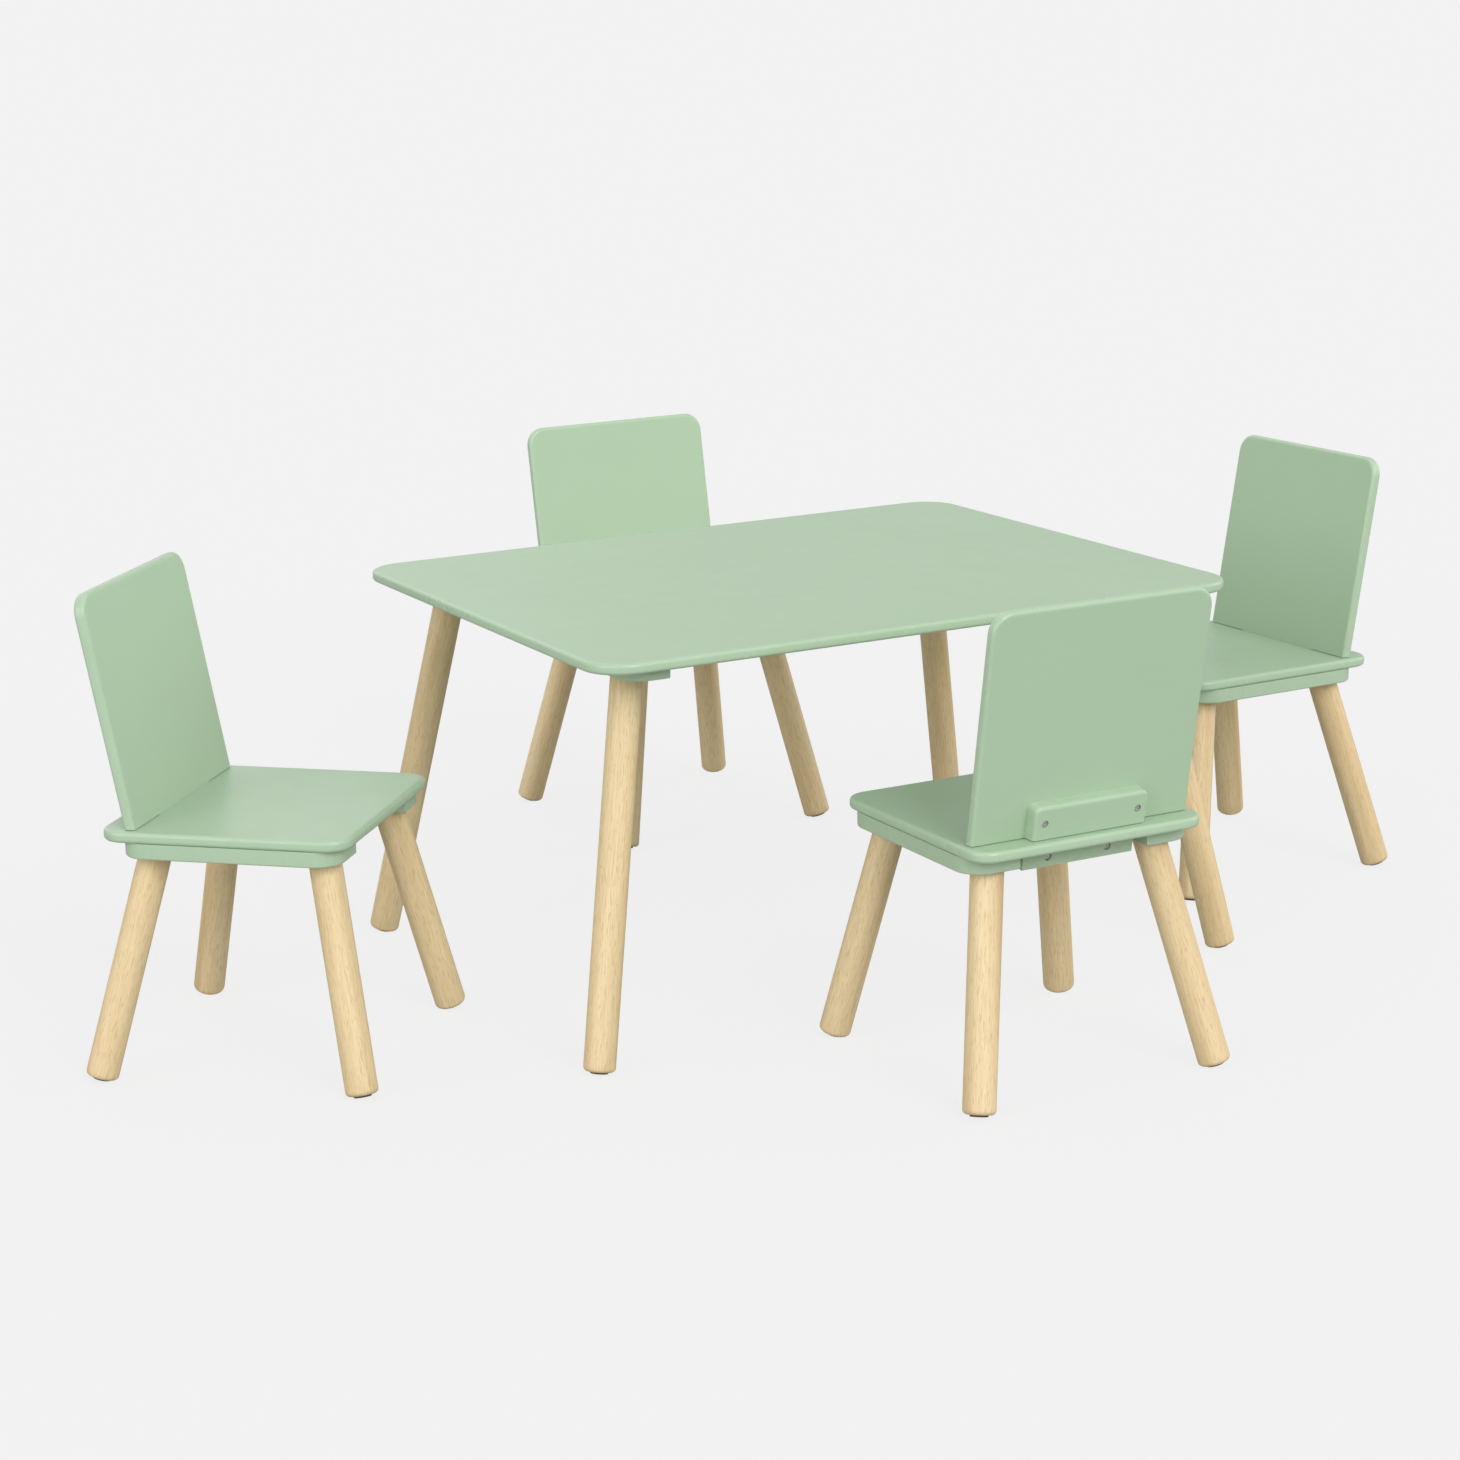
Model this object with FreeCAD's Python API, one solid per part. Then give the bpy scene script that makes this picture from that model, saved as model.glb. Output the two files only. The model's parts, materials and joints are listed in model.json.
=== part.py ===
import FreeCAD, Part
import math
import os

# Children's play table with four matching chairs. Millimetres, +Z up.
# The origin is on the floor, in the middle of the footprint of the whole set.
# Table: X runs along the long side. Chair: x to the sitter's right, y forward.

V = FreeCAD.Vector
UP = V(0, 0, 1)

# ---- table
table_length = 800.0
table_width = 636.0
table_height = 440.0
table_board = 12.0
table_corner = 46.0
table_rail_thick = 15.0
table_rail_width = 49.0
table_rail_side_inset = 42.0
table_rail_end_inset = 26.0
table_rail_corner = 30.0
table_leg_side_inset = 74.0
table_leg_end_inset = 91.0
table_leg_splay_x = 77.4
table_leg_splay_y = 63.8

# ---- chair
seat_width = 278.0
seat_depth = 270.0
seat_height = 270.0
chair_board = 12.0
seat_corner = 25.0
back_width = 262.0
back_length = 246.5
back_lean = 10.0
back_corner = 23.0
back_setback = 28.0
tongue_rail_gap = 10.0
tongue_length = 36.0
block_overhang = 1.0
block_height = 39.0
block_depth = 16.0
block_edge = 4.0
cleat_height = 20.0
cleat_depth = 20.0
chair_rail_thick = 17.0
chair_rail_width = 60.0
chair_rail_side_inset = 2.0
chair_rail_rear = -114.0
chair_rail_front = 125.0
chair_rail_corner = 28.0
chair_leg_x = 98.8
chair_leg_front_y = 98.3
chair_leg_rear_y = -86.6
chair_leg_splay_x = 46.7
chair_leg_front_splay = 46.0
chair_leg_rear_splay = 58.0

# ---- shared
board_edge = 4.0
rail_edge = 2.0
leg_radius = 17.2
leg_foot_edge = 5.0
foot_level = 3.0
pad_thick = 2.0
pad_press = 0.7
tenon_radius = 9.0
tenon_length = 13.0
pad_radius = 9.5
screw_radius = 1.75
screw_length = 24.0
screw_head_radius = 3.5
screw_head_height = 2.4
screw_recess = 1.6
screw_recess_radius = 4.0
screw_slot = 1.0
screw_tip = 3.0
block_screw_inset = 12.0
block_screw_h = 20.5
tongue_screw_inset = 31.0
tongue_screw_h = 26.0
fit_clear = 0.1
slot_clear = 0.3

# ---- chair places: middle of the seat (x, y) and the way the sitter faces
chair_places = [
    ("chair_1", 11.6, -459.7, 89.5),
    ("chair_2", 623.4, 14.6, 180.8),
    ("chair_3", 144.4, 588.4, 270.4),
    ("chair_4", -651.5, -19.8, 318.0),
]

FAR = 1000.0


def plan(x0, y0, x1, y1, radii):
    """Flat face at z = 0 with its own radius at each corner.

    The radii go anticlockwise from the corner (x0, y0); zero keeps it square.
    """
    corners = [(x0, y0), (x1, y0), (x1, y1), (x0, y1)]
    inward = [(1, 1), (-1, 1), (-1, -1), (1, -1)]
    starts = []
    ends = []
    mids = []
    for i in range(4):
        cx, cy = corners[i]
        ix, iy = inward[i]
        r = radii[i]
        along_x = V(cx + ix * r, cy, 0)
        along_y = V(cx, cy + iy * r, 0)
        bow = r * (1 - math.sqrt(0.5))
        mids.append(V(cx + ix * bow, cy + iy * bow, 0))
        if i % 2 == 0:
            starts.append(along_y)
            ends.append(along_x)
        else:
            starts.append(along_x)
            ends.append(along_y)
    edges = []
    for i in range(4):
        if radii[i] > 0:
            edges.append(Part.Arc(starts[i], mids[i], ends[i]).toShape())
        edges.append(Part.makeLine(ends[i], starts[(i + 1) % 4]))
    return Part.Face(Part.Wire(edges))


def flat_edges(shape, levels):
    """Edges lying wholly at one of the given z levels."""
    found = []
    for edge in shape.Edges:
        box = edge.BoundBox
        for z in levels:
            if abs(box.ZMin - z) < 1e-4 and abs(box.ZMax - z) < 1e-4:
                found.append(edge)
    return found


def board(x0, y0, x1, y1, radii, z0, thick, edge, levels):
    """Board lying flat, its rim rounded over at the given z levels."""
    shape = plan(x0, y0, x1, y1, radii).extrude(V(0, 0, thick))
    shape.translate(V(0, 0, z0))
    return shape.makeFillet(edge, flat_edges(shape, levels))


def half_space_box(z0, z1):
    """Very wide box between two levels, for trimming to a level."""
    box = Part.makeBox(2 * FAR, 2 * FAR, z1 - z0)
    box.translate(V(-FAR, -FAR, z0))
    return box


def leg_axis(top, splay_x, splay_y, rail_under):
    """Top centre at the rail and unit direction down the leg."""
    start = V(top[0], top[1], rail_under)
    end = V(top[0] + splay_x, top[1] + splay_y, foot_level)
    down = end - start
    down.normalize()
    return start, down


def along_to_level(start, down, z):
    """Point of the leg axis at height z."""
    return start + down * ((z - start.z) / down.z)


def leg_end(start, down):
    """Centre of the square-cut foot end; its pad is pressed flat a little at the low side."""
    lean = math.sqrt(1 - down.z * down.z)
    height = pad_radius * lean - pad_thick * down.z - pad_press
    return along_to_level(start, down, height)


def make_leg(start, down, rail_under):
    """Round leg scribed flat to its rail, with a turned tenon above."""
    end = leg_end(start, down)
    over = start - down * (2 * leg_radius)
    length = (end - over).Length
    shank = Part.makeCylinder(leg_radius, length, over, down)
    foot_rim = []
    for edge in shank.Edges:
        if (edge.CenterOfMass - end).Length < 0.5:
            foot_rim.append(edge)
    shank = shank.makeFillet(leg_foot_edge, foot_rim)
    shank = shank.common(half_space_box(0, rail_under))
    tenon_start = start + down * leg_radius
    tenon = Part.makeCylinder(tenon_radius, tenon_length + leg_radius, tenon_start, down * -1)
    return shank.fuse(tenon).removeSplitter()


def tenon_hole(start, down):
    """Blind hole of the rail that takes the tenon."""
    radius = tenon_radius + fit_clear
    hole_start = start + down * leg_radius
    length = tenon_length + leg_radius + fit_clear
    return Part.makeCylinder(radius, length, hole_start, down * -1)


def make_pad(start, down):
    """Thin felt glide square on the foot end, cut flat where it meets the floor."""
    end = leg_end(start, down)
    pad = Part.makeCylinder(pad_radius, pad_thick, end, down)
    return pad.common(half_space_box(0, 2 * leg_radius))


def make_screw(head_centre, inward):
    """Screw with a flat head and cross recess; head_centre is its outer face."""
    head = Part.makeCylinder(screw_head_radius, screw_head_height, head_centre, inward)
    shank_length = screw_length - screw_tip
    shank = Part.makeCylinder(screw_radius, shank_length, head_centre, inward)
    tip_start = head_centre + inward * shank_length
    tip = Part.makeCone(screw_radius, screw_slot / 2, screw_tip, tip_start, inward)
    screw = head.fuse(shank).fuse(tip)
    side = V(1, 0, 0)
    other = inward.cross(side)
    for a, b in ((side, other), (other, side)):
        corner = head_centre - a * (screw_head_radius * 0.65) - b * (screw_slot / 2)
        wide = a * (screw_head_radius * 1.3)
        thin = b * screw_slot
        wire = Part.makePolygon([corner, corner + wide, corner + wide + thin, corner + thin, corner])
        cut = Part.Face(wire).extrude(inward * (screw_head_height / 2))
        screw = screw.cut(cut)
    return screw.removeSplitter()


def screw_hole(face_centre, inward):
    """Counterbored clearance and pilot hole for a recessed screw."""
    radius = screw_radius + fit_clear
    bore = Part.makeCylinder(radius, screw_recess + screw_length + fit_clear, face_centre, inward)
    depth = screw_recess + screw_head_height + fit_clear
    counter = Part.makeCylinder(screw_recess_radius, depth, face_centre, inward)
    return bore.fuse(counter)


def make_rail(x0, x1, y0, y1, corner, z0, thick, sign):
    """Flat rail on one side (sign -1 or 1), outer corners rounded."""
    if sign > 0:
        radii = [0, corner, corner, 0]
        return board(x0, y0, x1, y1, radii, z0, thick, rail_edge, [z0])
    radii = [corner, 0, 0, corner]
    return board(-x1, y0, -x0, y1, radii, z0, thick, rail_edge, [z0])


def build_table():
    """Table in its own axes: centre of the top over x = y = 0."""
    parts = {}
    hx = table_length / 2
    hy = table_width / 2
    under = table_height - table_board
    levels = [under, table_height]
    parts["top"] = board(-hx, -hy, hx, hy, [table_corner] * 4, under, table_board, board_edge, levels)
    rail_under = under - table_rail_thick
    rail_out = hx - table_rail_side_inset
    rail_in = rail_out - table_rail_width
    rail_y = hy - table_rail_end_inset
    pads = []
    for sx, side in ((-1, "left"), (1, "right")):
        rail = make_rail(rail_in, rail_out, -rail_y, rail_y, table_rail_corner,
                         rail_under, table_rail_thick, sx)
        for sy, end in ((-1, "front"), (1, "rear")):
            top = (sx * (hx - table_leg_side_inset), sy * (hy - table_leg_end_inset))
            start, down = leg_axis(top, sx * table_leg_splay_x, sy * table_leg_splay_y, rail_under)
            parts["leg_" + end + "_" + side] = make_leg(start, down, rail_under)
            rail = rail.cut(tenon_hole(start, down))
            pads.append(make_pad(start, down))
        parts["rail_" + side] = rail
    parts["foot_pads"] = Part.makeCompound(pads)
    return parts


def build_chair():
    """Chair in its own axes: centre of the seat over x = y = 0."""
    parts = {}
    hx = seat_width / 2
    hy = seat_depth / 2
    seat_under = seat_height - chair_board
    rail_under = seat_under - chair_rail_thick
    rail_out = hx - chair_rail_side_inset
    rail_in = rail_out - chair_rail_width
    tongue_width = 2 * (rail_in - tongue_rail_gap)
    block_width = tongue_width + 2 * block_overhang
    block_screw_x = block_width / 2 - block_screw_inset
    tongue_screw_x = tongue_width / 2 - tongue_screw_inset

    # The backrest is drawn upright, rear face on y = 0, then leaned and moved.
    lean = math.radians(back_lean)
    foot = V(0, -hy + back_setback, seat_height)
    rise = V(0, -math.sin(lean), math.cos(lean))
    rearward = V(0, -math.cos(lean), -math.sin(lean))
    forward = rearward * -1

    def leaned(shape):
        shape.rotate(V(0, 0, 0), V(1, 0, 0), back_lean)
        shape.translate(foot)
        return shape

    below = tongue_length + chair_board
    hw = back_width / 2
    flat = plan(-hw, -below, hw, back_length, [0, 0, back_corner, back_corner])
    panel = flat.extrude(V(0, 0, chair_board))
    panel = panel.makeFillet(board_edge, flat_edges(panel, [0, chair_board]))
    panel.rotate(V(0, 0, 0), V(1, 0, 0), 90)
    panel.translate(V(0, chair_board, 0))
    panel = leaned(panel).cut(half_space_box(0, seat_height))
    tongue = Part.makeBox(tongue_width, chair_board, tongue_length + chair_board)
    tongue.translate(V(-tongue_width / 2, 0, -tongue_length))
    backrest = panel.fuse(leaned(tongue)).removeSplitter()

    slot = Part.makeBox(tongue_width + 2 * slot_clear, chair_board + 2 * slot_clear, 4 * chair_board)
    slot.translate(V(-tongue_width / 2 - slot_clear, -slot_clear, -3 * chair_board))
    levels = [seat_under, seat_height]
    seat = board(-hx, -hy, hx, hy, [seat_corner] * 4, seat_under, chair_board, board_edge, levels)
    seat = seat.cut(leaned(slot))

    flat = plan(-block_width / 2, -block_depth, block_width / 2, block_height, [0] * 4)
    block = flat.extrude(V(0, 0, block_depth))
    rim = []
    for edge in block.Edges:
        rear = abs(edge.BoundBox.ZMin - block_depth) < 1e-4
        cap = abs(edge.BoundBox.YMin - block_height) < 1e-4
        side = edge.BoundBox.YLength > block_height and edge.BoundBox.ZMin > 1e-4
        if rear or side or (cap and edge.BoundBox.ZMax > 1e-4):
            rim.append(edge)
    block = block.makeFillet(block_edge, rim)
    block.rotate(V(0, 0, 0), V(1, 0, 0), 90)
    block = leaned(block).cut(half_space_box(0, seat_height))

    # The cleat fills the corner between the tongue and the seat.
    drop = cleat_height / math.cos(lean)
    front_top = foot + forward * chair_board - rise * (chair_board / math.cos(lean))
    front_low = front_top - rise * drop
    far_y = front_top.y + cleat_depth
    corners = [front_top, front_low, V(0, far_y, front_low.z), V(0, far_y, front_top.z)]
    shift = seat_under - front_top.z
    outline = []
    for p in corners:
        outline.append(V(-tongue_width / 2, p.y - shift * math.tan(lean), p.z + shift))
    outline.append(outline[0])
    cleat = Part.Face(Part.makePolygon(outline)).extrude(V(tongue_width, 0, 0))

    screws = []
    for sx in (-1, 1):
        face = foot + V(sx * block_screw_x, 0, 0) + rise * block_screw_h + rearward * block_depth
        hole = screw_hole(face, forward)
        block = block.cut(hole)
        backrest = backrest.cut(hole)
        screws.append(make_screw(face + forward * screw_recess, forward))
        face = foot + V(sx * tongue_screw_x, 0, 0) - rise * tongue_screw_h
        hole = screw_hole(face, forward)
        backrest = backrest.cut(hole)
        cleat = cleat.cut(hole)
        screws.append(make_screw(face + forward * screw_recess, forward))

    parts["seat"] = seat
    parts["backrest"] = backrest
    parts["back_block"] = block
    parts["tongue_cleat"] = cleat
    parts["screws"] = Part.makeCompound(screws)

    ends = (
        ("front", chair_leg_front_y, chair_leg_front_splay),
        ("rear", chair_leg_rear_y, -chair_leg_rear_splay),
    )
    pads = []
    for sx, side in ((-1, "left"), (1, "right")):
        rail = make_rail(rail_in, rail_out, chair_rail_rear, chair_rail_front, chair_rail_corner,
                         rail_under, chair_rail_thick, sx)
        for end, leg_y, splay_y in ends:
            start, down = leg_axis((sx * chair_leg_x, leg_y), sx * chair_leg_splay_x,
                                   splay_y, rail_under)
            parts["leg_" + end + "_" + side] = make_leg(start, down, rail_under)
            rail = rail.cut(tenon_hole(start, down))
            pads.append(make_pad(start, down))
        parts["rail_" + side] = rail
    parts["foot_pads"] = Part.makeCompound(pads)
    return parts


def placed(shape, x, y, facing):
    """Copy of a chair piece, turned to face the given way and moved."""
    moved = shape.copy()
    moved.rotate(V(0, 0, 0), UP, facing - 90.0)
    moved.translate(V(x, y, 0))
    return moved


nodes = {}
for name, shape in build_table().items():
    nodes["table_" + name] = shape
chair = build_chair()
for chair_name, x, y, facing in chair_places:
    for name, shape in chair.items():
        nodes[chair_name + "_" + name] = placed(shape, x, y, facing)

whole = Part.makeCompound(list(nodes.values())).optimalBoundingBox(False, False)
centre = V(-whole.Center.x, -whole.Center.y, 0)

os.makedirs("parts", exist_ok=True)
for name, shape in nodes.items():
    shape.translate(centre)
    shape.exportStep("parts/" + name + ".step")
    solids = len(shape.Solids)
    print(name, solids, "valid" if shape.isValid() else "INVALID", round(shape.Volume))
print("nodes", len(nodes), "shift", round(centre.x, 3), round(centre.y, 3))
print("size", round(whole.XLength, 2), round(whole.YLength, 2), round(whole.ZLength, 2))
print("z", round(whole.ZMin, 4), round(whole.ZMax, 3))
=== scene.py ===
import json
import math

import bpy
import numpy as np
from mathutils import Matrix, Vector


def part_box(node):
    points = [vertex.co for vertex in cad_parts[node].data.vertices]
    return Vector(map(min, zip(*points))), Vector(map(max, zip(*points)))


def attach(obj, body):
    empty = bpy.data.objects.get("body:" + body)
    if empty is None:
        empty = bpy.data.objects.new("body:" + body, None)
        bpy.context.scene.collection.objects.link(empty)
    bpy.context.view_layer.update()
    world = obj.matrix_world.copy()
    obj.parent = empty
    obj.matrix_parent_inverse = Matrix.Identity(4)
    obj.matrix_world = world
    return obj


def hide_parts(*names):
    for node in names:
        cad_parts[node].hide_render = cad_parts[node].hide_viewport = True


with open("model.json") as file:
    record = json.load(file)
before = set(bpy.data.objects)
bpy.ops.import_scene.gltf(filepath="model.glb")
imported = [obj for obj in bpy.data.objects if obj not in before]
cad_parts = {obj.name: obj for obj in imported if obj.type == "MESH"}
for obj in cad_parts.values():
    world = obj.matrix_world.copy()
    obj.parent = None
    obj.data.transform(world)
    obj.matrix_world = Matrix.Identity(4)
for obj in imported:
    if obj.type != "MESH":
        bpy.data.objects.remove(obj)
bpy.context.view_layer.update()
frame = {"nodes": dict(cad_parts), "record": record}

# ---------------------------------------------------------------- sizes, in metres

TABLE_CENTRE = (Vector(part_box("table_top")[0]) + Vector(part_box("table_top")[1])) / 2
ORIGIN = np.array([TABLE_CENTRE.x, TABLE_CENTRE.y, 0.0])

TABLE_LENGTH = 0.800
TABLE_WIDTH = 0.636
TABLE_HEIGHT = 0.440
TABLE_CORNER = 0.046
BOARD = 0.012
BOARD_EDGE = 0.004
TABLE_RAIL_THICK = 0.015
TABLE_RAIL_WIDTH = 0.049
TABLE_RAIL_SIDE_INSET = 0.042
TABLE_RAIL_END_INSET = 0.026
TABLE_RAIL_CORNER = 0.030
TABLE_LEG_SIDE_INSET = 0.074
TABLE_LEG_END_INSET = 0.091
TABLE_SPLAY_X = 0.0774
TABLE_SPLAY_Y = 0.0638

SEAT_WIDTH = 0.278
SEAT_DEPTH = 0.270
SEAT_HEIGHT = 0.270
SEAT_CORNER = 0.025
BACK_WIDTH = 0.262
BACK_LENGTH = 0.2465
BACK_LEAN = math.radians(10.0)
BACK_CORNER = 0.023
BACK_SETBACK = 0.028
TONGUE_RAIL_GAP = 0.010
TONGUE_LENGTH = 0.036
BLOCK_OVERHANG = 0.001
BLOCK_HEIGHT = 0.039
BLOCK_DEPTH = 0.016
BLOCK_EDGE = 0.004
BLOCK_CORNER = 0.0065
CHAIR_RAIL_THICK = 0.017
CHAIR_RAIL_WIDTH = 0.060
CHAIR_RAIL_SIDE_INSET = 0.002
CHAIR_RAIL_REAR = -0.114
CHAIR_RAIL_FRONT = 0.125
CHAIR_RAIL_CORNER = 0.028
CHAIR_LEG_X = 0.0988
CHAIR_LEG_FRONT_Y = 0.0983
CHAIR_LEG_REAR_Y = -0.0866
CHAIR_SPLAY_X = 0.0467
CHAIR_SPLAY_FRONT = 0.046
CHAIR_SPLAY_REAR = -0.058

RAIL_EDGE = 0.002
LEG_RADIUS = 0.0172
LEG_FOOT_EDGE = 0.005
FOOT_LEVEL = 0.003
PAD_THICK = 0.002
PAD_PRESS = 0.0007
PAD_RADIUS = 0.0095
# Sections are pairs of inset from the radius and depth along the axis.
PAD_SECTION = ((0.0, 0.0), (0.0, 0.0016), (0.0001, 0.0019), (0.0004, PAD_THICK),
               (0.0015, PAD_THICK), (0.003, PAD_THICK), (0.005, PAD_THICK), (0.007, PAD_THICK))
SCREW_TIP_RADIUS = 0.0003
SCREW_TIP_TAPER = 0.003
SCREW_RADIUS = 0.00175
SCREW_LENGTH = 0.024
SCREW_HEAD_RADIUS = 0.0035
SCREW_HEAD_HEIGHT = 0.0024
SCREW_HEAD_RIM = ((0.0, 0.0006), (0.0002, 0.0002), (0.0006, 0.0))
SCREW_FACE_RADIUS = 0.0027
SCREW_FACE_CENTRE = 0.00015
CROSS_BAR = 0.0005
CROSS_ARM = 0.0021
CROSS_WALL = 0.0002
CROSS_DEPTH = 0.0014
CROSS_FALL = 0.6
SCREW_RECESS = 0.0016
SCREW_RECESS_RADIUS = 0.004
RECESS_LEAD = 0.003
RECESS_CLEAR = 0.0001
BLOCK_SCREW_INSET = 0.012
BLOCK_SCREW_RISE = 0.0205
TONGUE_SCREW_INSET = 0.031
TONGUE_SCREW_DROP = 0.026
SLOT_CLEAR = 0.0003
FLAT_RING = 0.0015
JOINT_LINE = 0.0007

# Each chair's place from the table's centre, and the way its sitter faces, in degrees from +X.
CHAIRS = {
    "chair_1": (0.0116, -0.4597, 89.5),
    "chair_2": (0.6234, 0.0146, 180.8),
    "chair_3": (0.1444, 0.5884, 270.4),
    "chair_4": (-0.6515, -0.0198, 318.0),
}

# Places that follow from the sizes.
TABLE_UNDER = TABLE_HEIGHT - BOARD
SEAT_UNDER = SEAT_HEIGHT - BOARD
TABLE_RAIL_UNDER = TABLE_UNDER - TABLE_RAIL_THICK
CHAIR_RAIL_UNDER = SEAT_UNDER - CHAIR_RAIL_THICK
TABLE_LEG_X = TABLE_LENGTH / 2 - TABLE_LEG_SIDE_INSET
TABLE_LEG_Y = TABLE_WIDTH / 2 - TABLE_LEG_END_INSET
CHAIR_RAIL_OUT = SEAT_WIDTH / 2 - CHAIR_RAIL_SIDE_INSET
CHAIR_RAIL_IN = CHAIR_RAIL_OUT - CHAIR_RAIL_WIDTH
TONGUE_HALF = CHAIR_RAIL_IN - TONGUE_RAIL_GAP
BLOCK_HALF = TONGUE_HALF + BLOCK_OVERHANG

# How finely surfaces are divided, and how the wood's grain differs from leg to leg.
SHARP_ANGLE = math.radians(38.0)
EDGE_STEPS = 7
LEG_AROUND = 56
LEG_ALONG = 36
PAD_AROUND = 48
SCREW_AROUND = 40
SCREW_FACE_RINGS = 14
RECESS_AROUND = 32
CORNER_STEPS = 10
BOARD_RUN = 8
SEAT_RUN = 14
FOOT_FACE_SHARES = (0.35, 0.72)
GRAIN_TURN = 2.399963
GRAIN_SHIFTS = (0.31, 0.17, 0.23)


# ---------------------------------------------------------------- shader workbench

class Field:
    """A node socket that takes part in plain arithmetic: each operator adds one Math node."""

    def __init__(self, bench, socket):
        self.bench = bench
        self.socket = socket

    def math(self, operation, first, second):
        return self.bench.node("ShaderNodeMath", {"operation": operation}, {0: first, 1: second})

    def __add__(self, other):
        return self.math("ADD", self, other)

    __radd__ = __add__

    def __sub__(self, other):
        return self.math("SUBTRACT", self, other)

    def __rsub__(self, other):
        return self.math("SUBTRACT", other, self)

    def __mul__(self, other):
        return self.math("MULTIPLY", self, other)

    __rmul__ = __mul__


class Bench:
    """Builds one material: node() makes every node, its settings first, then its sockets."""

    def __init__(self, name):
        self.material = bpy.data.materials.new(name)
        self.material.use_nodes = True
        self.tree = self.material.node_tree
        self.tree.nodes.clear()

    def node(self, kind, settings=None, sockets=None, out=0):
        """One node; a socket takes a number, a colour or a Field, and "stops" sets a ramp."""
        made = self.tree.nodes.new(kind)
        for key, value in (settings or {}).items():
            if key == "stops":
                ramp = made.color_ramp
                while len(ramp.elements) > 1:
                    ramp.elements.remove(ramp.elements[-1])
                ramp.elements[0].position = value[0][0]
                ramp.elements[0].color = value[0][1]
                for place, colour in value[1:]:
                    ramp.elements.new(place).color = colour
            else:
                setattr(made, key, value)
        for key, value in (sockets or {}).items():
            if isinstance(value, Field):
                self.tree.links.new(value.socket, made.inputs[key])
            else:
                made.inputs[key].default_value = value
        return Field(self, made.outputs[out]) if made.outputs else None

    def place(self):
        return self.node("ShaderNodeTexCoord", out="Object")

    def attribute(self, name, out):
        return self.node("ShaderNodeAttribute", {"attribute_name": name}, out=out)

    def stretched(self, where, scale):
        return self.node("ShaderNodeMapping", None, {"Vector": where, "Scale": scale})

    def noise(self, where, scale, detail=2.0, roughness=0.5, distortion=0.0):
        sockets = {"Vector": where, "Scale": scale, "Detail": detail,
                   "Roughness": roughness, "Distortion": distortion}
        return self.node("ShaderNodeTexNoise", None, sockets, out="Fac")

    def between(self, value, low, high, to_low=0.0, to_high=1.0):
        sockets = {"Value": value, 1: low, 2: high, 3: to_low, 4: to_high}
        return self.node("ShaderNodeMapRange", {"clamp": True}, sockets)

    def blend(self, amount, first, second):
        sockets = {0: amount, 6: first, 7: second}
        return self.node("ShaderNodeMix", {"data_type": "RGBA"}, sockets, out=2)

    def bump(self, height, strength, distance):
        sockets = {"Height": height, "Strength": strength, "Distance": distance}
        return self.node("ShaderNodeBump", None, sockets)

    def finish(self, sockets):
        shader = self.node("ShaderNodeBsdfPrincipled", None, sockets)
        self.node("ShaderNodeOutputMaterial", None, {"Surface": shader})
        return self.material


def tone(red, green, blue):
    """A colour as the sockets take it, with full cover."""
    return (red, green, blue, 1.0)


def sage_paint(name, light, dark, worn):
    """Sprayed satin paint on fibreboard: faint tone drift, orange peel, edges lighter from rubbing
    and from a painted highlight.
    """
    bench = Bench(name)
    where = bench.place()
    rim = bench.attribute("rim", "Fac")
    drift = bench.noise(where, scale=5.0, detail=3.0, roughness=0.55)
    colour = bench.blend(bench.between(drift, 0.3, 0.7), dark, light)
    speck = bench.noise(where, scale=700.0, detail=1.0)
    colour = bench.blend(bench.between(speck, 0.66, 0.84, to_high=0.12), colour, worn)
    wear_and_highlight_breakup = bench.between(bench.noise(where, scale=35.0, detail=3.0), 0.3, 0.7, to_low=0.35)
    # The rims are blended towards the lighter tone: partly rubbed wear, partly a painted highlight
    # along the rounded edges.
    edge = bench.between(rim, 0.15, 0.9) * wear_and_highlight_breakup
    colour = bench.blend(edge * 0.17, colour, worn)
    peel = bench.noise(where, scale=420.0, roughness=0.45)
    rolling = bench.noise(where, scale=60.0)
    sheen = bench.noise(where, scale=24.0, detail=3.0)
    rough = bench.between(sheen, 0.3, 0.7, to_low=0.30, to_high=0.37) - edge * 0.06
    height = peel * 0.6 + rolling * 0.4
    return bench.finish({
        "Base Color": colour, "Roughness": rough, "Specular IOR Level": 0.5,
        "Normal": bench.bump(height, strength=0.30, distance=0.0003)})


def leg_wood(name):
    """Clear-lacquered pale wood in its own leg axes: growth bands, long fibres, short pores."""
    bench = Bench(name)
    where = bench.attribute("grain", "Vector")
    bands = bench.noise(bench.stretched(where, (48.0, 48.0, 2.4)), scale=1.0, detail=3.0,
                        roughness=0.55, distortion=0.4)
    fibres = bench.noise(bench.stretched(where, (1050.0, 1050.0, 30.0)), scale=1.0,
                         roughness=0.6)
    pores = bench.noise(bench.stretched(where, (760.0, 760.0, 92.0)), scale=1.0, detail=1.0)
    shade = bench.noise(where, scale=9.0)
    colour = bench.node("ShaderNodeValToRGB", {"stops": [
        (0.28, BAND_DARK), (0.48, BAND_MIDDLE), (0.70, BAND_LIGHT)]}, {"Fac": bands})
    colour = bench.blend(bench.between(shade, 0.40, 0.70, to_high=0.22), colour, WOOD_WARM)
    colour = bench.blend(bench.between(fibres, 0.38, 0.66, to_high=0.42), colour, FIBRE_DARK)
    dash = bench.between(pores, 0.575, 0.66)
    colour = bench.blend(dash * 0.36, colour, PORE_DARK)
    rough = bench.between(fibres, 0.3, 0.7, to_low=0.42, to_high=0.56)
    height = fibres * 0.5 - dash * 0.6
    return bench.finish({
        "Base Color": colour, "Roughness": rough, "Specular IOR Level": 0.4,
        "Normal": bench.bump(height, strength=0.25, distance=0.0003)})


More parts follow.
